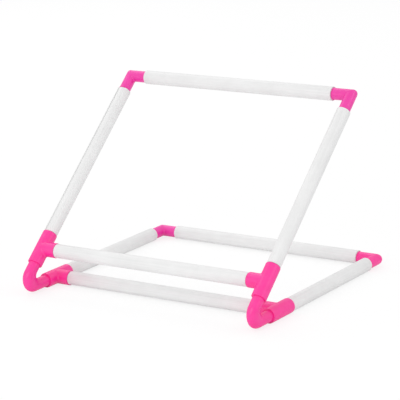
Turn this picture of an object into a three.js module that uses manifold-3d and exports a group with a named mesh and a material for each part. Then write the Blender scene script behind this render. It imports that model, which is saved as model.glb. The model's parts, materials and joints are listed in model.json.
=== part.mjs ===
// A tube frame for embroidery: a tilted work frame joined to a flat base.
// White pipes plug into pink fittings, and a C-shaped clip snaps over each pipe to hold the cloth.
// Millimetres, +Z up, +Y to the back. The origin is under the middle of the frame, on the table.

import * as THREE from 'three';
import { mergeVertices } from 'three/addons/utils/BufferGeometryUtils.js';
import Module from 'manifold-3d';

const wasm = await Module();
wasm.setup();

// Layout, between pipe axes
const frameWidth = 360;
const windowLength = 302;
const baseWindowDepth = 258;
const lowBarReach = 70;
const frontBarReach = 80;
const tilt = THREE.MathUtils.degToRad(41);

// Pipe
const pipeDiameter = 17;
const pipeWall = 1.7;
const pipeRimChamfer = 0.4;

// Clip snapped over the pipe
const clipWall = 0.8;
const clipOpening = THREE.MathUtils.degToRad(64);

// Clearances
const fitGap = 0.3;
const clipEndGap = 0.5;

// Tee with three sockets
const teeWall = 1.4;
const teeReach = 25;
const socketDepth = 15;
const teeRimChamfer = 0.6;
const socketLeadIn = 0.4;

// Slim body that elbows and bends share
const bodyDiameter = 16;

// Elbow: a collar as wide as the pipe, then a spigot that goes into the pipe
const elbowReach = 25;
const elbowOuterRound = 5;
const elbowInnerRound = 2;
const collarLength = 1.5;
const spigotLength = 12;
const spigotWall = 1.3;
const spigotTaper = 0.5;

// Acute bend: a round crook, thicker than its legs, whose ends are plugs as wide as the pipe
const bendInnerRound = 6;
const bendOuterRound = 18.5;
const bendWall = 2.4;
const plugInset = 0.2;
const plugShoulder = 0.5;
const plugChamfer = 0.5;

// How finely round forms are cut, and how far a cutter overruns
const sides = 24;
const arcStep = THREE.MathUtils.degToRad(13);
const smallArcStep = THREE.MathUtils.degToRad(30);
const lipSteps = 3;
const cutOverrun = 1;

// Sizes worked out from those above
const pipeRadius = pipeDiameter / 2;
const pipeBoreRadius = pipeRadius - pipeWall;
const clipBoreRadius = pipeRadius + fitGap;
const clipRadius = clipBoreRadius + clipWall;
const socketRadius = pipeRadius + fitGap;
const teeRadius = socketRadius + teeWall;
const socketStop = teeReach - socketDepth;
const bodyRadius = bodyDiameter / 2;
const spigotRadius = pipeBoreRadius - fitGap;
const elbowBoreRadius = spigotRadius - spigotWall;
const spigotStart = elbowReach + collarLength;
const spigotEnd = spigotStart + spigotLength;
const topBarReach = lowBarReach + windowLength;
const rearBarReach = frontBarReach + baseWindowDepth;
const halfWidth = frameWidth / 2;

// How far short of a fitting's own axes the pipe and the clip stop
const teePipeInset = socketStop + fitGap;
const teeClipInset = teeReach + clipEndGap;
const elbowPipeInset = spigotStart + fitGap;
const elbowClipInset = spigotStart + clipEndGap;

// Round sections are polygons measured across their flats, with a flat facing each main direction
const sectorStep = (2 * Math.PI) / sides;
const flatShare = Math.cos(sectorStep / 2);

// The clip openings: one faces out of the work frame, the others are turned away
const openingOut = 0;
const openingBack = Math.PI;

// Keeps positions only, welds shared corners and drops collapsed triangles
function weld(geometry) {
  const bare = geometry.clone();
  bare.deleteAttribute('normal');
  bare.deleteAttribute('uv');
  const welded = mergeVertices(bare);
  const index = welded.index.array;
  const kept = [];
  for (let i = 0; i < index.length; i += 3) {
    const [a, b, c] = [index[i], index[i + 1], index[i + 2]];
    if (a !== b && b !== c && c !== a) kept.push(a, b, c);
  }
  welded.setIndex(kept);
  return welded;
}

function toSolid(geometry) {
  const welded = weld(geometry);
  const mesh = new wasm.Mesh({
    numProp: 3,
    vertProperties: new Float32Array(welded.attributes.position.array),
    triVerts: new Uint32Array(welded.index.array),
  });
  return new wasm.Manifold(mesh);
}

function fromSolid(solid) {
  const mesh = solid.getMesh();
  const geometry = new THREE.BufferGeometry();
  geometry.setAttribute('position', new THREE.BufferAttribute(mesh.vertProperties, mesh.numProp));
  geometry.setIndex(new THREE.BufferAttribute(mesh.triVerts, 1));
  return geometry;
}

// Turns an outline of [along, radius] pairs round the Y axis
function revolve(outline) {
  const points = outline.map(([along, radius]) => new THREE.Vector2(radius / flatShare, along));
  return new THREE.LatheGeometry([...points, points[0]], sides, sectorStep / 2);
}

// A solid of revolution whose outline starts and ends on the axis
function turned(outline) {
  const first = outline[0][0];
  const last = outline[outline.length - 1][0];
  return revolve([[first, 0], ...outline, [last, 0]]);
}

// A centre line with two straight legs and an arc between them, in the XY plane.
// Leg A leaves the corner along +X and leg B at the given angle from it. Station zero is where the arc starts.
function bentLine(angle, radius) {
  const tangentLength = radius / Math.tan(angle / 2);
  const arcLength = radius * (Math.PI - angle);
  const frameAt = (station) => {
    if (station <= 0) {
      return { x: tangentLength - station, y: 0, heading: Math.PI };
    }
    if (station >= arcLength) {
      const reach = tangentLength + station - arcLength;
      return { x: reach * Math.cos(angle), y: reach * Math.sin(angle), heading: angle };
    }
    const turn = station / radius;
    const x = tangentLength - radius * Math.sin(turn);
    return { x, y: radius - radius * Math.cos(turn), heading: Math.PI - turn };
  };
  const onLegA = (reach) => tangentLength - reach;
  const onLegB = (reach) => arcLength + reach - tangentLength;
  const arcStations = (step) => {
    const steps = Math.ceil((Math.PI - angle) / step);
    return Array.from({ length: steps + 1 }, (_, i) => (arcLength * i) / steps);
  };
  return { frameAt, onLegA, onLegB, arcStations };
}

// How far the outside of a crook is from the middle line of its bore, at a station on the arc.
// The outside runs on along both legs until it meets a round of its own.
function crookReach(angle, boreRound, outerRound, station) {
  const halfTurn = (Math.PI - angle) / 2;
  const fromMiddle = Math.abs(station / boreRound - halfTurn);
  const shift = (boreRound + bodyRadius - outerRound) / Math.sin(angle / 2);
  const roundEnd = Math.atan2(outerRound * Math.sin(halfTurn), shift + outerRound * Math.cos(halfTurn));
  if (fromMiddle > roundEnd) {
    return (boreRound + bodyRadius) / Math.cos(halfTurn - fromMiddle) - boreRound;
  }
  const sideways = shift * Math.sin(fromMiddle);
  return shift * Math.cos(fromMiddle) + Math.sqrt(outerRound ** 2 - sideways ** 2) - boreRound;
}

// Runs an outline of [station, radius] pairs along a bent line. A third value is the reach of
// the outer side, where that is further out than the radius.
// A closed outline joins its last ring to its first, and an open one ends in flat caps.
function sweep(line, outline, closed) {
  const positions = [];
  for (const [station, radius, outerReach = radius] of outline) {
    const stretch = (radius + outerReach) / (radius + radius);
    const { x, y, heading } = line.frameAt(station);
    for (let k = 0; k < sides; k += 1) {
      const turn = sectorStep * (k + 0.5);
      const across = (radius + (radius / flatShare) * Math.cos(turn)) * stretch - radius;
      const aside = (radius / flatShare) * Math.sin(turn);
      positions.push(x - across * Math.sin(heading), y + across * Math.cos(heading), aside);
    }
  }
  const index = [];
  const rings = outline.length;
  const joints = closed ? rings : rings - 1;
  for (let ring = 0; ring < joints; ring += 1) {
    const here = ring * sides;
    const next = ((ring + 1) % rings) * sides;
    for (let k = 0; k < sides; k += 1) {
      const l = (k + 1) % sides;
      index.push(here + k, here + l, next + l, here + k, next + l, next + k);
    }
  }
  if (!closed) {
    const last = (rings - 1) * sides;
    for (let k = 1; k < sides - 1; k += 1) {
      index.push(0, k + 1, k, last, last + k, last + k + 1);
    }
  }
  const geometry = new THREE.BufferGeometry();
  geometry.setAttribute('position', new THREE.Float32BufferAttribute(positions, 3));
  geometry.setIndex(index);
  return geometry;
}

// Pipe along Y, from zero to its length, with broken edges
function pipeGeometry(length) {
  const rim = pipeRadius - pipeRimChamfer;
  return weld(revolve([
    [0, pipeBoreRadius],
    [0, rim],
    [pipeRimChamfer, pipeRadius],
    [length - pipeRimChamfer, pipeRadius],
    [length, rim],
    [length, pipeBoreRadius],
  ]));
}

// Clip along Y, from zero to its length, with its opening facing +Z and round lips
function clipGeometry(length) {
  const start = Math.PI / 2 + clipOpening / 2;
  const span = 2 * Math.PI - clipOpening;
  const steps = Math.ceil(span / sectorStep);
  const step = span / steps;
  const share = Math.cos(step / 2);
  const lipRadius = clipWall / 2;
  const wallMiddle = clipBoreRadius + lipRadius;
  const points = [];
  const arc = (radius, from, stride) => {
    for (let i = 0; i <= steps; i += 1) {
      const turn = from + stride * i;
      const reach = i === 0 || i === steps ? radius : radius / share;
      points.push(new THREE.Vector2(reach * Math.cos(turn), reach * Math.sin(turn)));
    }
  };
  const lip = (turn, from) => {
    for (let i = 1; i < lipSteps; i += 1) {
      const roll = from + (Math.PI * i) / lipSteps;
      points.push(new THREE.Vector2(
        wallMiddle * Math.cos(turn) + lipRadius * Math.cos(roll),
        wallMiddle * Math.sin(turn) + lipRadius * Math.sin(roll),
      ));
    }
  };
  arc(clipRadius, start, step);
  lip(start + span, start + span);
  arc(clipBoreRadius, start + span, -step);
  lip(start, start + Math.PI);
  const section = new THREE.Shape(points);
  const geometry = new THREE.ExtrudeGeometry(section, { depth: length, steps: 1, bevelEnabled: false });
  geometry.rotateX(-Math.PI / 2);
  geometry.rotateY(Math.PI);
  return weld(geometry);
}

// Tee with its run along Y and its branch along +X, each socket with a stop for the pipe end
function teeGeometry() {
  const rim = teeRadius - teeRimChamfer;
  const rimStart = teeReach - teeRimChamfer;
  const run = turned([[-teeReach, rim], [-rimStart, teeRadius], [rimStart, teeRadius], [teeReach, rim]]);
  const branch = turned([[0, teeRadius], [rimStart, teeRadius], [teeReach, rim]]);
  const mouth = socketRadius + socketLeadIn;
  const past = teeReach + cutOverrun;
  const socket = [
    [socketStop, pipeBoreRadius],
    [socketStop, socketRadius],
    [teeReach - socketLeadIn, socketRadius],
    [teeReach, mouth],
    [past, mouth],
  ];
  const mirrored = socket.map(([along, radius]) => [-along, radius]).reverse();
  const runCut = turned([...mirrored, ...socket]);
  const branchCut = turned([[0, pipeBoreRadius], ...socket]);
  const toBranch = (geometry) => geometry.rotateZ(-Math.PI / 2);
  const body = toSolid(run).add(toSolid(toBranch(branch)));
  return fromSolid(body.subtract(toSolid(runCut)).subtract(toSolid(toBranch(branchCut))));
}

// What two equal round bars have in common where they cross at the origin, along X and Y
function crossing(radius) {
  const half = radius + cutOverrun;
  const bar = () => turned([[-half, radius], [half, radius]]);
  return toSolid(bar()).intersect(toSolid(bar().rotateZ(-Math.PI / 2)));
}

// The sliver outside the round of the elbow's outer corner
function cornerCut() {
  const outside = -bodyRadius - cutOverrun;
  const inside = -bodyRadius + elbowOuterRound;
  const shape = new THREE.Shape();
  shape.moveTo(outside, outside);
  shape.lineTo(inside, outside);
  shape.lineTo(inside, -bodyRadius);
  shape.absarc(inside, inside, elbowOuterRound, -Math.PI / 2, -Math.PI, true);
  shape.lineTo(outside, inside);
  const depth = -2 * outside;
  const curveSegments = Math.ceil(Math.PI / 2 / smallArcStep);
  const geometry = new THREE.ExtrudeGeometry(shape, { depth, steps: 1, bevelEnabled: false, curveSegments });
  geometry.translate(0, 0, outside);
  return toSolid(geometry);
}

// Elbow with its corner at the origin and its arms along +X and +Y
function elbowGeometry() {
  const arm = turned([
    [0, bodyRadius],
    [elbowReach, bodyRadius],
    [elbowReach, pipeRadius],
    [spigotStart, pipeRadius],
    [spigotStart, spigotRadius],
    [spigotEnd - spigotTaper, spigotRadius],
    [spigotEnd, spigotRadius - spigotTaper],
  ]);
  const bore = turned([[0, elbowBoreRadius], [spigotEnd + cutOverrun, elbowBoreRadius]]);
  const toX = (geometry) => geometry.clone().rotateZ(-Math.PI / 2);
  const line = bentLine(Math.PI / 2, bodyRadius + elbowInnerRound);
  const inner = sweep(line, line.arcStations(smallArcStep).map((station) => [station, bodyRadius]), false);
  const body = toSolid(arm).add(toSolid(toX(arm))).add(crossing(bodyRadius)).subtract(cornerCut());
  const cut = toSolid(bore).add(toSolid(toX(bore))).add(crossing(elbowBoreRadius));
  return fromSolid(body.add(toSolid(inner)).subtract(cut));
}

// Acute bend: leg A lies along +X for the base, leg B rises at the tilt for the work frame
function bendGeometry() {
  const boreRound = bodyRadius + bendInnerRound;
  const line = bentLine(tilt, boreRound);
  const rimA = frontBarReach - teeReach;
  const rimB = lowBarReach - teeReach;
  const plugReach = socketDepth - fitGap;
  const plugRim = pipeRadius - plugChamfer;
  const bore = bodyRadius - bendWall;
  const endA = line.onLegA(rimA + plugReach);
  const endB = line.onLegB(rimB + plugReach);
  const shoulderA = line.onLegA(rimA + plugInset);
  const shoulderB = line.onLegB(rimB + plugInset);
  return sweep(line, [
    [endA, plugRim],
    [endA + plugChamfer, pipeRadius],
    [shoulderA - plugShoulder, pipeRadius],
    [shoulderA, bodyRadius],
    ...line.arcStations(arcStep).map((station) => (
      [station, bodyRadius, crookReach(tilt, boreRound, bendOuterRound, station)]
    )),
    [shoulderB, bodyRadius],
    [shoulderB + plugShoulder, pipeRadius],
    [endB - plugChamfer, pipeRadius],
    [endB, plugRim],
    [endB, bore],
    ...line.arcStations(smallArcStep).map((station) => [station, bore]).reverse(),
    [endA, bore],
  ], true);
}

const whitePlastic = () => new THREE.MeshStandardMaterial({ color: 0xf1f1ef, roughness: 0.35, metalness: 0 });
const pinkPlastic = () => new THREE.MeshStandardMaterial({ color: 0xf04898, roughness: 0.4, metalness: 0 });

function addMesh(parent, name, geometry, material) {
  const mesh = new THREE.Mesh(geometry, material);
  mesh.name = name;
  parent.add(mesh);
  return mesh;
}

// A pipe and its clip on the Y axis of a holder, which is then placed in its frame
function addBar(frame, name, pipeSpan, clipSpan, opening) {
  const holder = new THREE.Group();
  const pipe = addMesh(holder, `${name}_pipe`, pipeGeometry(pipeSpan[1] - pipeSpan[0]), whitePlastic());
  const clip = addMesh(holder, `${name}_clip`, clipGeometry(clipSpan[1] - clipSpan[0]), whitePlastic());
  pipe.position.y = pipeSpan[0];
  clip.position.y = clipSpan[0];
  clip.rotation.y = opening;
  frame.add(holder);
  return holder;
}

// A bar across the frame, the same distance short of both sides
function addCrossBar(frame, name, reach, pipeInset, clipInset, opening) {
  const pipeHalf = halfWidth - pipeInset;
  const clipHalf = halfWidth - clipInset;
  const holder = addBar(frame, name, [-pipeHalf, pipeHalf], [-clipHalf, clipHalf], opening);
  holder.position.y = reach;
  holder.rotation.z = -Math.PI / 2;
}

// A bar up one side, from the tee near the corner to the elbow at the far end
function addSideBar(frame, name, x, teeAt, elbowAt, opening) {
  const pipeSpan = [teeAt + teePipeInset, elbowAt - elbowPipeInset];
  const clipSpan = [teeAt + teeClipInset, elbowAt - elbowClipInset];
  addBar(frame, name, pipeSpan, clipSpan, opening).position.x = x;
}

const workFrame = new THREE.Group();
workFrame.rotation.x = tilt;
const baseFrame = new THREE.Group();
const model = new THREE.Group();
model.add(workFrame, baseFrame);

// Turns the bend's own XY plane onto the side of the frame, with its X to the back and its Y up
const [right, back, up] = [[1, 0, 0], [0, 1, 0], [0, 0, 1]].map((axis) => new THREE.Vector3(...axis));
const ontoSide = new THREE.Matrix4().makeBasis(back, up, right);

const pairs = [
  { frame: workFrame, tee: 'upright_tee', elbow: 'top', teeAt: lowBarReach, elbowAt: topBarReach, bar: 'upright' },
  { frame: baseFrame, tee: 'base_tee', elbow: 'rear', teeAt: frontBarReach, elbowAt: rearBarReach, bar: 'base' },
];

for (const [side, sign] of [['left', -1], ['right', 1]]) {
  const x = sign * halfWidth;
  const facing = sign < 0 ? 0 : Math.PI;
  for (const { frame, tee, elbow, teeAt, elbowAt, bar } of pairs) {
    const teeMesh = addMesh(frame, `${side}_${tee}`, teeGeometry(), pinkPlastic());
    teeMesh.position.set(x, teeAt, 0);
    teeMesh.rotation.y = facing;
    const elbowMesh = addMesh(frame, `${elbow}_${side}_elbow`, elbowGeometry(), pinkPlastic());
    elbowMesh.position.set(x, elbowAt, 0);
    elbowMesh.rotation.z = sign < 0 ? -Math.PI / 2 : Math.PI;
    const shown = side === 'left' && frame === workFrame;
    addSideBar(frame, `${side}_${bar}`, x, teeAt, elbowAt, shown ? openingOut : openingBack);
  }
  const bend = addMesh(model, `${side}_bend`, bendGeometry(), pinkPlastic());
  bend.position.x = x;
  bend.quaternion.setFromRotationMatrix(ontoSide);
}

addCrossBar(workFrame, 'top', topBarReach, elbowPipeInset, elbowClipInset, openingBack);
addCrossBar(workFrame, 'low', lowBarReach, teePipeInset, teeClipInset, openingBack);
addCrossBar(baseFrame, 'rear', rearBarReach, elbowPipeInset, elbowClipInset, openingBack);
addCrossBar(baseFrame, 'front', frontBarReach, teePipeInset, teeClipInset, openingBack);

// Stand the frame on the table with the origin under the middle of its outline
model.updateMatrixWorld(true);
const outline = new THREE.Box3().setFromObject(model, true);
const middle = outline.getCenter(new THREE.Vector3());
model.position.set(-middle.x, -middle.y, -outline.min.z);

export default model;
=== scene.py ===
# %% [markdown]
# # A tube frame for embroidery
#
# The real object holds cloth tight for cross stitch. White plastic pipes plug into hot pink
# fittings, and a C-shaped clip is pressed over each pipe, with the cloth between them. The work
# frame leans back at about 41 degrees over a flat base of the same parts.
#
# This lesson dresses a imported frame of 26 plain solids. Each solid is replaced by a finer piece
# of the same size in the same place, and each piece rides on the body of the solid it replaces.

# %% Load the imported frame
import json
import math

import bmesh
import bpy
from mathutils import Matrix, Quaternion, Vector


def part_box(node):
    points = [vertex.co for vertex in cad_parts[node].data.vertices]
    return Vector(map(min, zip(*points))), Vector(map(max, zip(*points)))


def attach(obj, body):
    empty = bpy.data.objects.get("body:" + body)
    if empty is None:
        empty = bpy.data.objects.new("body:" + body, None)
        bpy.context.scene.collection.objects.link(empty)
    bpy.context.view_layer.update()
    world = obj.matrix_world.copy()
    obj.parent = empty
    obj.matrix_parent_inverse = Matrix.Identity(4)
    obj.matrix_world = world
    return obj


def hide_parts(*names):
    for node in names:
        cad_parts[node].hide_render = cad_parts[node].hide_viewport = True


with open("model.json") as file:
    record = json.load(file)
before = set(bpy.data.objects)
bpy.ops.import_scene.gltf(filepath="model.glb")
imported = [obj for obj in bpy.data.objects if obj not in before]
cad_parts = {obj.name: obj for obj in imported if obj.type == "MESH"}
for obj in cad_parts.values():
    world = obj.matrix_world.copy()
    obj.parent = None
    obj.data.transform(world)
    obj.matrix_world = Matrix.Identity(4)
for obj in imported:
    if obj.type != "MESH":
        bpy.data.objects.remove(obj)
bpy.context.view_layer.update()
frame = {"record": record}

bodies = frame["record"]["behaviour"]["bodies"]
body_of_node = {node: body for body, nodes in bodies.items() for node in nodes}

# %% [markdown]
# ## Sizes
#
# Everything is in metres. The sizes repeat those of the solids, because a fitting that is half a
# millimetre off would show at its rim, and each of them stands in the cell that needs it first. A
# round section has 64 sides here, so that its outline looks round, where the solids have 24.

# %% Sizes that all pieces share
mm = 0.001
round_sides = 64
print("a round section has", round_sides, "sides")

# %% [markdown]
# ## Where the pieces go
#
# Two flat frames share one corner line, where the acute bends are. The base lies flat, and the
# work frame is the same plane turned up round the corner line. The bars' middles come from the
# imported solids, and the tilt and the corner follow from them, so nothing is fitted by eye.

# %% Measure the layout
def middle(node):
    low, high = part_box(node)
    return (low + high) / 2


low_bar, top_bar = middle("low_pipe"), middle("top_pipe")
front_bar, rear_bar = middle("front_pipe"), middle("rear_pipe")
half_width = middle("right_base_pipe").x
tilt = math.atan2(top_bar.z - low_bar.z, top_bar.y - low_bar.y)
corner = Vector((0, low_bar.y - (low_bar.z - front_bar.z) / math.tan(tilt), front_bar.z))
low_reach, top_reach = (low_bar - corner).length, (top_bar - corner).length
front_reach, rear_reach = (front_bar - corner).length, (rear_bar - corner).length

base_plane = Matrix.Translation(corner)
work_plane = base_plane @ Matrix.Rotation(tilt, 4, "X")
print(f"tilt {math.degrees(tilt):.2f} degrees, corner line at y {corner.y:.5f}, z {corner.z:.5f}")

# %% [markdown]
# ## The camera
#
# The photograph was taken from the right, a little above, through a long lens. The angles and the
# distance were found by fitting the edges of all eight bars, and the lens follows from them.

# %% Camera
image_side = 400
focal_in_pixels = 2047.34
camera_place = Vector((1.52007, -2.22984, 0.81655))
camera_azimuth = math.radians(34.3135)
camera_elevation = math.radians(14.5825)
camera_roll = math.radians(-2.53)

bpy.ops.object.select_all(action="DESELECT")
bpy.ops.object.camera_add(location=camera_place)
camera = bpy.context.object
camera.name = "photo_camera"
camera.data.lens = focal_in_pixels / image_side * camera.data.sensor_width
towards_camera = Vector((
    math.sin(camera_azimuth) * math.cos(camera_elevation),
    -math.cos(camera_azimuth) * math.cos(camera_elevation),
    math.sin(camera_elevation),
))
camera.rotation_mode = "QUATERNION"
camera.rotation_quaternion = towards_camera.to_track_quat("Z", "Y") @ Quaternion((0, 0, 1), camera_roll)
bpy.context.scene.camera = camera
print(f"camera: lens {camera.data.lens:.1f} mm")

# %% [markdown]
# ## Helpers for modelling
#
# An operator works on what is selected, so each step first says which piece it means. Faces and
# edges are picked by their place, never by their number, so the steps still hold if a size
# changes.

# %% Selecting and shaping
def use(piece):
    """Makes one piece the only selected and the active one."""
    bpy.ops.object.select_all(action="DESELECT")
    piece.select_set(True)
    bpy.context.view_layer.objects.active = piece


def give(piece, kind, **settings):
    """Adds a modifier, sets it up and applies it."""
    use(piece)
    modifier = piece.modifiers.new(kind.title(), kind)
    for name, value in settings.items():
        setattr(modifier, name, value)
    bpy.ops.object.modifier_apply(modifier=modifier.name)


def pick(piece, kind, test):
    """Enters edit mode with only the edges or faces selected that pass the test."""
    use(piece)
    bpy.ops.object.mode_set(mode="EDIT")
    bpy.ops.mesh.select_mode(type=kind)
    bpy.ops.mesh.select_all(action="DESELECT")
    shape = bmesh.from_edit_mesh(piece.data)
    found = [part for part in (shape.edges if kind == "EDGE" else shape.faces) if test(part)]
    for part in found:
        part.select_set(True)
    bmesh.update_edit_mesh(piece.data)
    return len(found)


def leave_edit():
    bpy.ops.object.mode_set(mode="OBJECT")


# %% Placing, copying and cutting
hairline = 0.001 * mm


def bake_place(piece, place):
    """Moves a piece to its place and puts the place into its mesh."""
    use(piece)
    piece.matrix_world = place @ piece.matrix_world
    bpy.ops.object.transform_apply(location=True, rotation=True, scale=True)


def copy_of(piece, name):
    """Copies a piece with a mesh of its own."""
    use(piece)
    bpy.ops.object.duplicate()
    twin = bpy.context.object
    twin.name = twin.data.name = name
    return twin


def cut_away(piece, cutter):
    """Takes the cutter's shape out of the piece and removes the cutter."""
    give(piece, "BOOLEAN", operation="DIFFERENCE", solver="EXACT", object=cutter)
    bpy.data.objects.remove(cutter)


def tidy_mesh(piece, sharpest=40):
    """Merges doubled points, points every face outwards and shades all but the sharp edges smoothly."""
    use(piece)
    bpy.ops.object.mode_set(mode="EDIT")
    bpy.ops.mesh.select_all(action="SELECT")
    bpy.ops.mesh.remove_doubles(threshold=hairline)
    bpy.ops.mesh.normals_make_consistent(inside=False)
    leave_edit()
    bpy.ops.object.shade_smooth_by_angle(angle=math.radians(sharpest))


# %% [markdown]
# ## Pipes
#
# A pipe is an extruded tube, so it is modelled as one: an open cylinder gets a wall from
# Solidify, and Bevel breaks the sharp edges at both ends. Four lengths serve eight pipes. What
# repeats is modelled once and copied.

# %% Pipe
pipe_radius = 8.5 * mm
pipe_wall = 1.7 * mm
pipe_rim = 0.4 * mm
sharp_edge = math.radians(60)


def make_pipe(length):
    bpy.ops.mesh.primitive_cylinder_add(
        vertices=round_sides, radius=pipe_radius, depth=length, end_fill_type="NOTHING")
    pipe = bpy.context.object
    give(pipe, "SOLIDIFY", thickness=pipe_wall, offset=-1)
    give(pipe, "BEVEL", width=pipe_rim, segments=2, limit_method="ANGLE", angle_limit=sharp_edge)
    tidy_mesh(pipe)
    return pipe


# %% [markdown]
# ## Clips
#
# A clip is a long C-shaped spring of thin plastic. It starts as the tube of its own bore and
# loses the faces inside its opening. A clip on a pipe is sprung open a little, so that only its
# two lips press on the pipe: they are drawn inwards in two steps, and then the wall grows
# outwards. The lips are rounded wide, because cloth slides over them, and the ends only get a
# fine edge.

# %% Clip
clip_sides = 90
clip_bore = 8.8 * mm
clip_wall = 0.8 * mm
clip_opening = math.radians(64)
clip_grip = (0.1 * mm, 0.15 * mm)
clip_lip = 0.36 * mm
clip_rim = 0.18 * mm


def make_clip(length):
    bpy.ops.mesh.primitive_cylinder_add(
        vertices=clip_sides, radius=clip_bore, depth=length, end_fill_type="NOTHING")
    clip = bpy.context.object

    def in_opening(face):
        spot = face.calc_center_median()
        return abs(math.atan2(spot.x, spot.y)) < clip_opening / 2

    pick(clip, "FACE", in_opening)
    bpy.ops.mesh.delete(type="FACE")
    leave_edit()

    sector = 2 * math.pi / clip_sides
    for columns, bite in ((2, clip_grip[0]), (1, clip_grip[1])):
        limit = clip_opening / 2 + columns * sector

        def near_lip(edge):
            return all(abs(math.atan2(v.co.x, v.co.y)) < limit for v in edge.verts)

        pick(clip, "EDGE", near_lip)
        share = 1 - bite / clip_bore
        bpy.ops.transform.resize(value=(share, share, 1), center_override=(0, 0, 0))
        leave_edit()
    give(clip, "SOLIDIFY", thickness=clip_wall, offset=1)

    def on_lip(edge):
        span = edge.verts[0].co - edge.verts[1].co
        return abs(span.z) > length / 2 and edge.calc_face_angle(0) > sharp_edge

    pick(clip, "EDGE", on_lip)
    bpy.ops.mesh.bevel(offset=clip_lip, segments=4)
    leave_edit()
    give(clip, "BEVEL", width=clip_rim, segments=2, limit_method="ANGLE", angle_limit=sharp_edge)
    tidy_mesh(clip)
    return clip


# %% [markdown]
# ## Bars
#
# Each bar is a pipe with its clip. In the photograph the left upright shows the clip's long slit
# from the front, and every other clip is turned away, so its opening faces the back or the table.
# A bar's own Z runs along the pipe and its Y points out of the opening.

# %% Bars
pipe_in_tee = 10.3 * mm
pipe_in_elbow = 26.8 * mm
clip_at_tee = 25.5 * mm
clip_at_elbow = 27 * mm

across, along = Vector((1, 0, 0)), Vector((0, 1, 0))
out, away = Vector((0, 0, 1)), Vector((0, 0, -1))

cross_span = (-half_width, half_width)
work_span = (low_reach, top_reach)
base_span = (front_reach, rear_reach)
bars = {
    "top": (work_plane, across, Vector((0, top_reach, 0)), cross_span, "elbows", away),
    "low": (work_plane, across, Vector((0, low_reach, 0)), cross_span, "tees", away),
    "rear": (base_plane, across, Vector((0, rear_reach, 0)), cross_span, "elbows", away),
    "front": (base_plane, across, Vector((0, front_reach, 0)), cross_span, "tees", away),
    "left_upright": (work_plane, along, Vector((-half_width, 0, 0)), work_span, "both", out),
    "right_upright": (work_plane, along, Vector((half_width, 0, 0)), work_span, "both", away),
    "left_base": (base_plane, along, Vector((-half_width, 0, 0)), base_span, "both", away),
    "right_base": (base_plane, along, Vector((half_width, 0, 0)), base_span, "both", away),
}
insets = {
    "elbows": {"pipe": (pipe_in_elbow, pipe_in_elbow), "clip": (clip_at_elbow, clip_at_elbow)},
    "tees": {"pipe": (pipe_in_tee, pipe_in_tee), "clip": (clip_at_tee, clip_at_tee)},
    "both": {"pipe": (pipe_in_tee, pipe_in_elbow), "clip": (clip_at_tee, clip_at_elbow)},
}
print("bars:", len(bars))

# %% Make and place the pipes and clips
pieces = {}
masters = {}
for bar, (plane, heading, start, span, ends, opening) in bars.items():
    side = opening.cross(heading)
    turn = Matrix((side, opening, heading)).transposed().to_4x4()
    for kind, make in (("pipe", make_pipe), ("clip", make_clip)):
        first, last = span[0] + insets[ends][kind][0], span[1] - insets[ends][kind][1]
        length = round(last - first, 6)
        if (kind, length) not in masters:
            masters[kind, length] = make(length)
            print(f"{kind}: {length / mm:.1f} mm long")
        piece = copy_of(masters[kind, length], f"round_{bar}_{kind}")
        bake_place(piece, plane @ Matrix.Translation(start + heading * (first + last) / 2) @ turn)
        pieces[f"{bar}_{kind}"] = piece
for master in masters.values():
    bpy.data.objects.remove(master)
print("pipes and clips:", len(pieces), "from", len(masters), "masters")

# %% [markdown]
# ## Pulling a tube
#
# The fittings are tubes with steps. They are made as a glass blower would: a ring is pulled
# along, widened or narrowed where the tube has a step, and swung round a centre where it bends.
# The ring stays selected, so each pull goes on from the last.

# %% Tube helpers
def start_ring(radius, at, heading):
    """Starts a tube with a ring that faces along the heading, and stays in edit mode."""
    bpy.ops.object.select_all(action="DESELECT")
    turn = heading.to_track_quat("Z", "Y").to_euler()
    bpy.ops.mesh.primitive_circle_add(vertices=round_sides, radius=radius, location=at, rotation=turn)
    bpy.ops.object.transform_apply(location=True, rotation=True, scale=True)
    bpy.ops.object.mode_set(mode="EDIT")
    bpy.ops.mesh.select_mode(type="EDGE")
    bpy.ops.mesh.select_all(action="SELECT")
    return bpy.context.object


def pull_ring(tip, step, radius, next_radius):
    """Extrudes the selected ring by a step and gives it its next radius. Returns where it is now."""
    bpy.ops.mesh.extrude_edges_move(TRANSFORM_OT_translate={"value": step})
    if abs(next_radius - radius) > hairline:
        share = next_radius / radius
        bpy.ops.transform.resize(value=(share, share, share), center_override=tip + step)
    return tip + step


def pull_along(tip, heading, radius, stations):
    """Pulls the ring through stations of distance from the tip and radius."""
    done = 0
    for distance, next_radius in stations:
        tip = pull_ring(tip, heading * (distance - done), radius, next_radius)
        done, radius = distance, next_radius
    return tip


def close_ends(piece):
    """Fills the open ends of a pulled tube, which makes it solid."""
    use(piece)
    bpy.ops.object.mode_set(mode="EDIT")
    bpy.ops.mesh.select_all(action="SELECT")
    bpy.ops.mesh.fill_holes(sides=0)
    leave_edit()
    tidy_mesh(piece)


# %% [markdown]
# ## Mitred corners
#
# Two arms of one width that meet at a right angle share an oval in the plane between them. So one
# arm is pulled and cut by that plane, and a copy turned half round the middle line of the corner
# is the other arm. A moulding has no sharp creases. A fillet of one radius is as wide as the
# radius where the surfaces meet square, and it fades out where they run into each other, so the
# bevel weight of each edge follows from its own angle.

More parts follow.
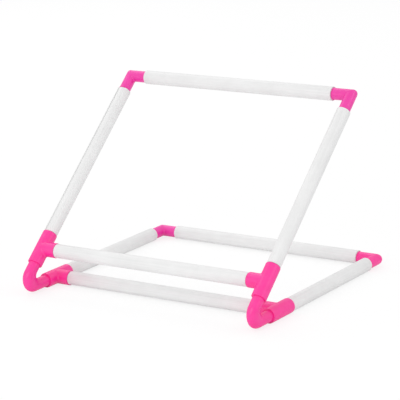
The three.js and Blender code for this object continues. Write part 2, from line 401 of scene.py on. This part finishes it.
# %% Corner helpers
def mitred(stations, radius):
    """An open tube with two equal arms along X and Y, from one pulled arm."""
    lead = 2 * radius
    start = along * -lead
    arm = start_ring(radius, start, along)
    pull_along(start, along, radius, [(distance + lead, r) for distance, r in stations])
    bpy.ops.mesh.select_all(action="SELECT")
    bpy.ops.mesh.bisect(plane_co=(0, 0, 0), plane_no=(-1, 1, 0), clear_inner=True, threshold=hairline)
    leave_edit()
    twin = copy_of(arm, "other_arm")
    bake_place(twin, Matrix.Rotation(math.pi, 4, Vector((1, 1, 0))))
    arm.select_set(True)
    bpy.context.view_layer.objects.active = arm
    bpy.ops.object.join()
    tidy_mesh(arm)
    return arm


def round_creases(piece, radius, test):
    """Rounds the edges that pass the test to one radius, which fades where the crease does."""
    found = pick(piece, "EDGE", test)
    shape = bmesh.from_edit_mesh(piece.data)
    weight = shape.edges.layers.float.new("bevel_weight_edge")
    for edge in shape.edges:
        edge[weight] = math.tan(edge.calc_face_angle(0) / 2) if edge.select else 0
    leave_edit()
    give(piece, "BEVEL", width=radius, segments=6, limit_method="WEIGHT", use_clamp_overlap=False)
    piece.data.attributes.remove(piece.data.attributes["bevel_weight_edge"])
    return found


# %% [markdown]
# ## Tees
#
# A tee is moulded in one shot: a short run, a branch of the same width, and a socket in each end
# with a stop for the pipe. Its saddle lies on two mitre planes, so half a tee is half a mitred
# corner, and Mirror makes the other half. The bores come out last, so that their rims stay crisp.

# %% Cutters and rims
tee_reach = 25 * mm
mouths = (along, -along, across)
touching = 10 * hairline
rim_reach = 0.1 * mm


def bar_of(radius, start, end, axis):
    """A closed round bar along one axis, from start to end."""
    turn = axis.to_track_quat("Z", "Y").to_euler()
    bpy.ops.mesh.primitive_cylinder_add(
        vertices=round_sides, radius=radius, depth=end - start, end_fill_type="NGON",
        location=axis * (start + end) / 2, rotation=turn)
    bpy.ops.object.transform_apply(location=True, rotation=True, scale=True)
    return bpy.context.object


def on_rim(radius):
    """A test for the edges of one radius round the mouths of a tee."""
    def on_circle(spot, axis):
        height = spot.dot(axis)
        from_axis = (spot - axis * height).length
        return abs(height - tee_reach) < touching and abs(from_axis - radius) < rim_reach

    def test(edge):
        return any(all(on_circle(v.co, axis) for v in edge.verts) for axis in mouths)
    return test


# %% Tee
tee_radius = 10.2 * mm
tee_rim = 0.7 * mm
saddle_round = 2.5 * mm
socket_radius = 8.8 * mm
socket_stop = 10 * mm
socket_rim = 0.1 * mm
passage_radius = 6.8 * mm
overrun = 1 * mm


def make_tee():
    tee = mitred([(tee_reach, tee_radius)], tee_radius)
    use(tee)
    bpy.ops.object.mode_set(mode="EDIT")
    bpy.ops.mesh.select_all(action="SELECT")
    bpy.ops.mesh.bisect(plane_co=(0, 0, 0), plane_no=(0, 1, 0), clear_inner=True, threshold=hairline)
    leave_edit()
    give(tee, "MIRROR", use_axis=(False, True, False), merge_threshold=hairline)
    close_ends(tee)

    def on_saddle(edge):
        return all(abs(v.co.x - abs(v.co.y)) < touching and v.co.x > -hairline for v in edge.verts)

    found = round_creases(tee, saddle_round, on_saddle)
    past = tee_reach + overrun
    cut_away(tee, bar_of(passage_radius, -past, past, along))
    cut_away(tee, bar_of(passage_radius, 0, past, across))
    for axis in mouths:
        cut_away(tee, bar_of(socket_radius, socket_stop, past, axis))
    for radius, size in ((tee_radius, tee_rim), (socket_radius, socket_rim)):
        pick(tee, "EDGE", on_rim(radius))
        bpy.ops.mesh.bevel(offset=size, segments=3)
        leave_edit()
    tidy_mesh(tee)
    print("tee: saddle of", found, "edges,", len(tee.data.polygons), "faces")
    return tee


# %% Make and place the tees
tee = make_tee()
half_turn = Matrix.Rotation(math.pi, 4, "Y")
for plane, reach, name in ((work_plane, low_reach, "upright_tee"), (base_plane, front_reach, "base_tee")):
    for side, sign in (("left", -1), ("right", 1)):
        piece = copy_of(tee, f"round_{side}_{name}")
        place = plane @ Matrix.Translation((sign * half_width, reach, 0))
        bake_place(piece, place if sign < 0 else place @ half_turn)
        pieces[f"{side}_{name}"] = piece
bpy.data.objects.remove(tee)
print("pieces so far:", len(pieces))

# %% [markdown]
# ## Elbows
#
# An elbow is a mitred corner. Each arm has a collar as wide as the pipe and a slim spigot that
# goes into it. The outer half of the mitre is rounded wide, and the inner half gets a small
# fillet.

# %% Elbow
body_radius = 8 * mm
elbow_reach = 25 * mm
elbow_outer_round = 5 * mm
elbow_inner_round = 2 * mm
collar_length = 1.5 * mm
collar_rim = 0.25 * mm
spigot_length = 12 * mm
spigot_radius = 6.5 * mm
spigot_taper = 0.5 * mm
spigot_bore = 5.2 * mm


def make_elbow():
    spigot_start = elbow_reach + collar_length
    spigot_end = spigot_start + spigot_length
    elbow = mitred([
        (elbow_reach, body_radius),
        (elbow_reach, pipe_radius - collar_rim),
        (elbow_reach + collar_rim, pipe_radius),
        (spigot_start - collar_rim, pipe_radius),
        (spigot_start, pipe_radius - collar_rim),
        (spigot_start, spigot_radius),
        (spigot_end - spigot_taper, spigot_radius),
        (spigot_end, spigot_radius - spigot_taper),
    ], body_radius)
    close_ends(elbow)

    def on_mitre(sign):
        def test(edge):
            flush = all(abs(v.co.x - v.co.y) < touching for v in edge.verts)
            return flush and sign * sum(v.co.x + v.co.y for v in edge.verts) > hairline
        return test

    round_creases(elbow, elbow_outer_round, on_mitre(-1))
    round_creases(elbow, elbow_inner_round, on_mitre(1))
    bore = mitred([(spigot_end + overrun, spigot_bore)], spigot_bore)
    close_ends(bore)
    cut_away(elbow, bore)
    tidy_mesh(elbow)
    print("elbow:", len(elbow.data.polygons), "faces")
    return elbow


# %% Make and place the elbows
elbow = make_elbow()
for plane, reach, name in ((work_plane, top_reach, "top"), (base_plane, rear_reach, "rear")):
    for side, sign in (("left", -1), ("right", 1)):
        piece = copy_of(elbow, f"round_{name}_{side}_elbow")
        turn = Matrix.Rotation(-math.pi / 2 if sign < 0 else math.pi, 4, "Z")
        bake_place(piece, plane @ Matrix.Translation((sign * half_width, reach, 0)) @ turn)
        pieces[f"{name}_{side}_elbow"] = piece
bpy.data.objects.remove(elbow)
print("pieces so far:", len(pieces))

# %% [markdown]
# ## Acute bends
#
# The bend joins the work frame to the base on each side. Its legs are as slim as the elbows', and
# each end widens into a plug that fills the tee's socket. The plug is a quarter of a millimetre
# fuller than the solid's, because a push fit shows no gap, and it ends almost flush with the
# tee's mouth. So a joint shows as a thin ring and not as a dark hole. The crook is thicker than
# the legs, because a moulding needs a fillet inside so sharp a corner. The ring is pulled along
# the base leg, swung round the crook in small steps and pulled up the other leg. In the crook,
# each step also stretches the ring outwards, to where the outside has a round of its own.

# %% Crook
bend_inner_round = 6 * mm
bend_outer_round = 18.5 * mm
crook_turn = math.pi - tilt
bore_round = body_radius + bend_inner_round
tangent = bore_round / math.tan(tilt / 2)
print(f"crook: {math.degrees(crook_turn):.1f} degrees, from {tangent / mm:.1f} mm beside the corner line")


def crook_stretch(turn):
    """How much deeper the crook is than a leg, after a part of its turn.

    The outside runs straight on from each leg, as far as the round that touches both lines.
    """
    from_middle = abs(turn - crook_turn / 2)
    shift = (bore_round + body_radius - bend_outer_round) / math.sin(tilt / 2)
    along_shift = shift + bend_outer_round * math.cos(crook_turn / 2)
    round_end = math.atan2(bend_outer_round * math.sin(crook_turn / 2), along_shift)
    if from_middle > round_end:
        reach = (bore_round + body_radius) / math.cos(crook_turn / 2 - from_middle)
    else:
        sideways = shift * math.sin(from_middle)
        reach = shift * math.cos(from_middle) + math.sqrt(bend_outer_round ** 2 - sideways ** 2)
    return (reach - bend_inner_round) / (2 * body_radius)


# %% Pull a crooked tube
bend_steps = 36


def crooked(stations_in, stations_out, radius, first_radius, stretch_at):
    """A closed tube from the base leg round the crook and up the tilted leg."""
    start = along * (tangent + stations_in[-1][0])
    ring = start_ring(first_radius, start, -along)
    pull_along(start, -along, first_radius, stations_in)
    centre = along * tangent + out * bore_round
    stretch = 1
    for step in range(1, bend_steps + 1):
        turn = crook_turn * step / bend_steps
        bpy.ops.mesh.extrude_edges_move()
        bpy.ops.transform.rotate(value=crook_turn / bend_steps, orient_axis="X", center_override=centre)
        outwards = Vector((0, -math.sin(turn), -math.cos(turn)))
        bpy.ops.transform.resize(
            value=(1, stretch_at(turn) / stretch, 1), orient_type="GLOBAL", orient_matrix_type="GLOBAL",
            orient_matrix=(across, outwards, across.cross(outwards)),
            center_override=centre + outwards * bend_inner_round)
        stretch = stretch_at(turn)
    rising = Vector((0, math.cos(tilt), math.sin(tilt)))
    pull_along(rising * tangent, rising, radius, stations_out)
    leave_edit()
    close_ends(ring)
    return ring


# %% Bend
bend_bore = 5.6 * mm
plug_depth = 14.7 * mm
plug_radius = 8.75 * mm
plug_inset = 0.02 * mm
plug_shoulder = 0.1 * mm
plug_chamfer = 0.5 * mm


def make_bend():
    base_end = front_reach - tee_reach + plug_depth - tangent
    work_end = low_reach - tee_reach + plug_depth - tangent
    plug_length = plug_depth - plug_inset
    body_in = [
        (plug_chamfer, plug_radius),
        (plug_length - plug_shoulder, plug_radius),
        (plug_length, body_radius),
        (base_end, body_radius),
    ]
    body_out = [
        (work_end - plug_length, body_radius),
        (work_end - plug_length + plug_shoulder, plug_radius),
        (work_end - plug_chamfer, plug_radius),
        (work_end, plug_radius - plug_chamfer),
    ]
    bend = crooked(body_in, body_out, body_radius, plug_radius - plug_chamfer, crook_stretch)
    bore_in, bore_out = [(base_end + overrun, bend_bore)], [(work_end + overrun, bend_bore)]
    cut_away(bend, crooked(bore_in, bore_out, bend_bore, bend_bore, lambda turn: 1))
    tidy_mesh(bend)
    print("bend:", len(bend.data.polygons), "faces")
    return bend


# %% Make and place the bends
bend = make_bend()
for side, sign in (("left", -1), ("right", 1)):
    piece = copy_of(bend, f"round_{side}_bend")
    bake_place(piece, base_plane @ Matrix.Translation((sign * half_width, 0, 0)))
    pieces[f"{side}_bend"] = piece
bpy.data.objects.remove(bend)
print("pieces in all:", len(pieces))

# %% [markdown]
# ## Helpers for finishes
#
# Colours are written as sRGB hex values, as a paint chart gives them, and one function turns them
# into the linear values that the renderer wants. A finish is a tree of nodes, and one small
# function adds a node with its settings and links. A node such as Math has several inputs of one
# name, and these go by their number. The Mix node has its colours in inputs 6 and 7, its share in
# input 0 and its result in output 2.

# %% Finish helpers
def linear(hex_colour):
    """Turns an sRGB hex colour into linear values."""
    parts = [int(hex_colour[i:i + 2], 16) / 255 for i in (1, 3, 5)]
    return (*[c / 12.92 if c <= 0.04045 else ((c + 0.055) / 1.055) ** 2.4 for c in parts], 1)


def new_finish(name):
    """Starts a material with an empty tree."""
    finish = bpy.data.materials.new(name)
    finish.use_nodes = True
    finish.node_tree.nodes.clear()
    return finish, finish.node_tree


def add_node(tree, kind, settings=None, links=None):
    """Adds a node. Settings are inputs or properties, and links are inputs with what feeds them."""
    node = tree.nodes.new(kind)
    for key, value in (settings or {}).items():
        if isinstance(key, int) or key in node.inputs:
            node.inputs[key].default_value = value
        else:
            setattr(node, key, value)
    for key, output in (links or {}).items():
        tree.links.new(output, node.inputs[key])
    return node


# %% [markdown]
# ## Plastic
#
# White and pink are both rigid PVC. Its gloss comes from a refractive index of 1.53. The mirror-like
# part is dimmed towards the edge-on view: the fine grain of a moulded or extruded skin breaks
# that reflection up, where a polished one would show a bright rim.

# %% Plastic
plastic_ior = 1.53
plain_gloss = 0.5
seen_fully, seen_edge_on = 0.3, 0.9


def make_plastic(tree, colour, roughness, normal):
    """Adds the shader of a plastic and its output."""
    glance = add_node(tree, "ShaderNodeLayerWeight", {"Blend": 0.5})
    gloss = add_node(tree, "ShaderNodeMapRange", {
        "From Min": seen_fully,
        "From Max": seen_edge_on,
        "To Min": plain_gloss,
        "To Max": 0,
    }, {"Value": glance.outputs["Facing"]})
    shader = add_node(tree, "ShaderNodeBsdfPrincipled", {"IOR": plastic_ior}, {
        "Base Color": colour,
        "Roughness": roughness,
        "Specular IOR Level": gloss.outputs["Result"],
        "Normal": normal,
    })
    add_node(tree, "ShaderNodeOutputMaterial", {}, {"Surface": shader.outputs["BSDF"]})


# %% [markdown]
# ## White finish
#
# The pipes and clips are extruded through a die. That gives a smooth, softly glossy skin with
# faint lines along the length. The real die lines are finer than the picture can show, so they
# are drawn about 1.6 mm wide. A noise pattern that is stretched along the pipe makes them, and a
# second, round one makes the plastic a little cloudy.

# %% White extruded PVC
die_line_width = 1.6 * mm
die_line_length = 90 * mm
die_line_depth = 0.03 * mm
die_line_strength = 0.35
cloud_size = 24 * mm
darkest_white, lightest_white = 0.7, 1.3
glossy_white, dull_white = 0.4, 0.5


def make_white(name, heading, light, dark):
    """Makes a white finish whose lines run along the heading."""
    finish, tree = new_finish(name)
    spot = add_node(tree, "ShaderNodeTexCoord").outputs["Object"]
    stretched = add_node(tree, "ShaderNodeMapping", {
        "vector_type": "TEXTURE",
        "Rotation": heading.to_track_quat("Z", "Y").to_euler(),
        "Scale": (die_line_width, die_line_width, die_line_length),
    }, {"Vector": spot})
    lines = add_node(tree, "ShaderNodeTexNoise", {
        "Scale": 1, "Detail": 2}, {"Vector": stretched.outputs["Vector"]})
    clouds = add_node(tree, "ShaderNodeTexNoise", {
        "Scale": 1 / cloud_size, "Detail": 3}, {"Vector": spot})
    both = add_node(tree, "ShaderNodeMath", {
        "operation": "ADD"}, {0: lines.outputs["Fac"], 1: clouds.outputs["Fac"]})
    shade = add_node(tree, "ShaderNodeMapRange", {
        "From Min": darkest_white, "From Max": lightest_white}, {"Value": both.outputs["Value"]})
    colour = add_node(tree, "ShaderNodeMix", {
        "data_type": "RGBA", 6: linear(dark), 7: linear(light)}, {0: shade.outputs["Result"]})
    roughness = add_node(tree, "ShaderNodeMapRange", {
        "To Min": glossy_white, "To Max": dull_white}, {"Value": clouds.outputs["Fac"]})
    skin = add_node(tree, "ShaderNodeBump", {
        "Strength": die_line_strength, "Distance": die_line_depth}, {"Height": lines.outputs["Fac"]})
    make_plastic(tree, colour.outputs[2], roughness.outputs["Result"], skin.outputs["Normal"])
    return finish


headings = {
    "across": across,
    "back": along,
    "tilted": Vector((0, math.cos(tilt), math.sin(tilt))),
}
white = {}
for kind, light, dark in (("pipe", "#e9e9e9", "#e1e1e1"), ("clip", "#e8e8e8", "#e0e0e0")):
    for word, heading in headings.items():
        white[kind, word] = make_white(f"extruded_pvc_{kind}_{word}", heading, light, dark)
print("white finishes:", len(white))

# %% [markdown]
# ## Parting line
#
# The fittings are injection moulded, and the two halves of the mould leave a thin raised line
# round each fitting, in the plane of its own arms. The distance from that plane draws the line.

# %% Parting line
parting_width = 0.5 * mm


def parting_line(tree, spot, plane_point, plane_normal):
    """One on the mould's parting plane, and zero beyond the width of the line."""
    offset = add_node(tree, "ShaderNodeVectorMath", {
        "operation": "SUBTRACT", 1: plane_point}, {0: spot})
    height = add_node(tree, "ShaderNodeVectorMath", {
        "operation": "DOT_PRODUCT", 1: plane_normal}, {0: offset.outputs["Vector"]})
    distance = add_node(tree, "ShaderNodeMath", {
        "operation": "ABSOLUTE"}, {0: height.outputs["Value"]})
    line = add_node(tree, "ShaderNodeMapRange", {
        "interpolation_type": "SMOOTHSTEP",
        "From Max": parting_width,
        "To Min": 1,
        "To Max": 0,
    }, {"Value": distance.outputs["Value"]})
    return line.outputs["Result"]


# %% [markdown]
# ## Pink finish
#
# The fittings are the same plastic as the pipes, coloured hot pink. A moulding has a softer gloss
# than an extrusion and a very fine orange-peel skin. The colour flows a little as the mould
# fills, so the pink is never quite even. The tees, the bends and the rear right elbow show the
# plain hot pink. The other elbows get a copy of it that leans towards magenta: a painted lilac
# tint of the light that falls on them, not a second batch of plastic.

# %% Pink moulded plastic
peel_size = 1.5 * mm
peel_depth = 0.02 * mm
peel_strength = 0.25
parting_depth = 0.1 * mm
parting_strength = 0.5
flow_size = 14 * mm
darkest_flow, lightest_flow = 0.3, 0.7
glossy_pink, dull_pink = 0.28, 0.38


def make_pink(name, plane_point, plane_normal, light, dark):
    """Makes a pink finish with a parting line in a plane."""
    finish, tree = new_finish(name)
    spot = add_node(tree, "ShaderNodeTexCoord").outputs["Object"]
    flow = add_node(tree, "ShaderNodeTexNoise", {
        "Scale": 1 / flow_size, "Detail": 2}, {"Vector": spot})
    peel = add_node(tree, "ShaderNodeTexNoise", {
        "Scale": 1 / peel_size, "Detail": 1}, {"Vector": spot})
    shade = add_node(tree, "ShaderNodeMapRange", {
        "interpolation_type": "SMOOTHSTEP",
        "From Min": darkest_flow,
        "From Max": lightest_flow,
    }, {"Value": flow.outputs["Fac"]})
    colour = add_node(tree, "ShaderNodeMix", {
        "data_type": "RGBA", 6: linear(dark), 7: linear(light)}, {0: shade.outputs["Result"]})
    roughness = add_node(tree, "ShaderNodeMapRange", {
        "To Min": glossy_pink, "To Max": dull_pink}, {"Value": flow.outputs["Fac"]})
    skin = add_node(tree, "ShaderNodeBump", {
        "Strength": peel_strength, "Distance": peel_depth}, {"Height": peel.outputs["Fac"]})
    raised = add_node(tree, "ShaderNodeBump", {
        "Strength": parting_strength,
        "Distance": parting_depth,
    }, {
        "Height": parting_line(tree, spot, plane_point, plane_normal),
        "Normal": skin.outputs["Normal"],
    })
    make_plastic(tree, colour.outputs[2], roughness.outputs["Result"], raised.outputs["Normal"])
    return finish


# %% Pink of each fitting
work_normal = work_plane.to_3x3() @ out
left_side, right_side = across * -half_width, across * half_width
hot_pink = ("#f9359b", "#f62c95")
# The lean towards magenta in this second pink is painted light, a lilac tint of the light on some elbows.
pink_with_painted_lilac_light = ("#ee3ba7", "#e934a0")
pink = {
    "work_tee": make_pink("moulded_pink_work_tee", corner, work_normal, *hot_pink),
    "base_tee": make_pink("moulded_pink_base_tee", corner, out, *hot_pink),
    "work_elbow": make_pink("moulded_pink_work_elbow", corner, work_normal, *pink_with_painted_lilac_light),
    "rear_left_elbow": make_pink("moulded_pink_rear_left_elbow", corner, out, *pink_with_painted_lilac_light),
    "rear_right_elbow": make_pink("moulded_pink_rear_right_elbow", corner, out, *hot_pink),
    "left_bend": make_pink("moulded_pink_left_bend", left_side, across, *hot_pink),
    "right_bend": make_pink("moulded_pink_right_bend", right_side, across, *hot_pink),
}
print("pink finishes:", len(pink))

# %% [markdown]
# ## Dress the pieces
#
# Each piece gets its finish, stands for its solid and rides on the same body. The eight clips
# ride on bodies of their own, because they turn on their pipes.

# %% Dress the pieces
def finish_for(node):
    if node.endswith(("_pipe", "_clip")):
        bar, kind = node.rsplit("_", 1)
        plane, heading = bars[bar][0], bars[bar][1]
        word = "across" if heading == across else "tilted" if plane == work_plane else "back"
        return white[kind, word]
    if node in pink:
        return pink[node]
    level = "work" if "top" in node or "upright" in node else "base"
    return pink[f"{level}_{'tee' if node.endswith('_tee') else 'elbow'}"]


for node, piece in pieces.items():
    piece.data.materials.clear()
    piece.data.materials.append(finish_for(node))
    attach(piece, body_of_node[node])
    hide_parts(node)
triangles = sum(len(p.vertices) - 2 for piece in pieces.values() for p in piece.data.polygons)
print("dressed:", len(pieces), "pieces,", triangles, "triangles")

# %% [markdown]
# ## Floor
#
# The photograph has a pure white background. The floor is white paper, and for the camera it
# glows a little, so that it meets the white world without an edge and still keeps the soft shadow
# under the frame. Glossy and clear surfaces mirror the same glow. It adds nothing to the light
# that falls on the object.

# %% Floor
floor_half = 6
floor_glow = 0.8
paper_grain = 25 * mm
smooth_paper, rough_paper = 0.85, 0.95
paper_white = "#fcfcfc"
pure_white = "#ffffff"


def seen_by_camera(tree):
    """One for a ray from the camera, a glossy surface or a clear one, and zero for any other."""
    ray = add_node(tree, "ShaderNodeLightPath").outputs
    sent_on = add_node(tree, "ShaderNodeMath", {
        "operation": "MAXIMUM"}, {0: ray["Is Glossy Ray"], 1: ray["Is Transmission Ray"]})
    seen = add_node(tree, "ShaderNodeMath", {
        "operation": "MAXIMUM"}, {0: ray["Is Camera Ray"], 1: sent_on.outputs["Value"]})
    return seen.outputs["Value"]


def make_paper():
    """Makes a dull white paper that glows for the camera."""
    paper, tree = new_finish("white_paper")
    spot = add_node(tree, "ShaderNodeTexCoord").outputs["Object"]
    grain = add_node(tree, "ShaderNodeTexNoise", {
        "Scale": 1 / paper_grain, "Detail": 2}, {"Vector": spot})
    roughness = add_node(tree, "ShaderNodeMapRange", {
        "To Min": smooth_paper, "To Max": rough_paper}, {"Value": grain.outputs["Fac"]})
    sheet = add_node(tree, "ShaderNodeBsdfPrincipled", {
        "Base Color": linear(paper_white),
        "Specular IOR Level": 0,
    }, {"Roughness": roughness.outputs["Result"]})
    glow = add_node(tree, "ShaderNodeEmission", {"Color": linear(pure_white), "Strength": 1})
    share = add_node(tree, "ShaderNodeMath", {
        "operation": "MULTIPLY", 1: floor_glow}, {0: seen_by_camera(tree)})
    mixed = add_node(tree, "ShaderNodeMixShader", {}, {
        0: share.outputs["Value"], 1: sheet.outputs["BSDF"], 2: glow.outputs["Emission"]})
    add_node(tree, "ShaderNodeOutputMaterial", {}, {"Surface": mixed.outputs["Shader"]})
    return paper


bpy.ops.object.select_all(action="DESELECT")
bpy.ops.mesh.primitive_plane_add(size=2 * floor_half)
floor = bpy.context.object
floor.name = "studio_floor"
floor.data.materials.append(make_paper())
print("floor:", 2 * floor_half, "m wide")

# %% [markdown]
# ## World
#
# A white studio surrounds the object. The camera and the gloss see it pure white, and the light
# that it sheds is a little weaker, so that white plastic doesn't clip.

# %% World
world_light = 0.76

world = bpy.data.worlds.new("white_studio")
bpy.context.scene.world = world
world.use_nodes = True
studio = world.node_tree
studio.nodes.clear()
strength = add_node(studio, "ShaderNodeMapRange", {
    "To Min": world_light, "To Max": 1}, {"Value": seen_by_camera(studio)})
sky = add_node(studio, "ShaderNodeBackground", {
    "Color": linear(pure_white)}, {"Strength": strength.outputs["Result"]})
add_node(studio, "ShaderNodeOutputWorld", {}, {"Surface": sky.outputs["Background"]})
print("world light:", world_light)

# %% [markdown]
# ## Lamps
#
# Four large soft lamps light the object at a plain level, the lowest of them weak, so that the
# undersides don't go dark. Two small lamps draw the narrow streaks of light that run along the
# fittings. Each lamp has its place, its width in metres and its power in watts.

# %% Lamps
lamp_target = Vector((0, 0, 0.1))
lamps = {
    "softbox_in_front": (Vector((0.4, -2.3, 1.8)), 2.2, 20),
    "softbox_low_left": (Vector((-1, -2.2, 0.75)), 1.4, 2.5),
    "softbox_behind_left": (Vector((-1.7, 1.4, 2)), 2.2, 14),
    "softbox_behind_right": (Vector((2, 1.4, 1.8)), 2.2, 6),
    "softbox_overhead_left": (Vector((-1.5, -0.4, 2.3)), 0.8, 1.5),
    "softbox_right": (Vector((2.35, 0.4, 1.45)), 0.8, 2.5),
}
for name, (place, size, power) in lamps.items():
    bpy.ops.object.light_add(type="AREA", location=place)
    lamp = bpy.context.object
    lamp.name = name
    lamp.data.shape = "DISK"
    lamp.data.size = size
    lamp.data.energy = power
    lamp.rotation_mode = "QUATERNION"
    lamp.rotation_quaternion = (place - lamp_target).to_track_quat("Z", "Y")
bpy.context.scene.view_settings.view_transform = "Standard"
print("lamps:", len(lamps))
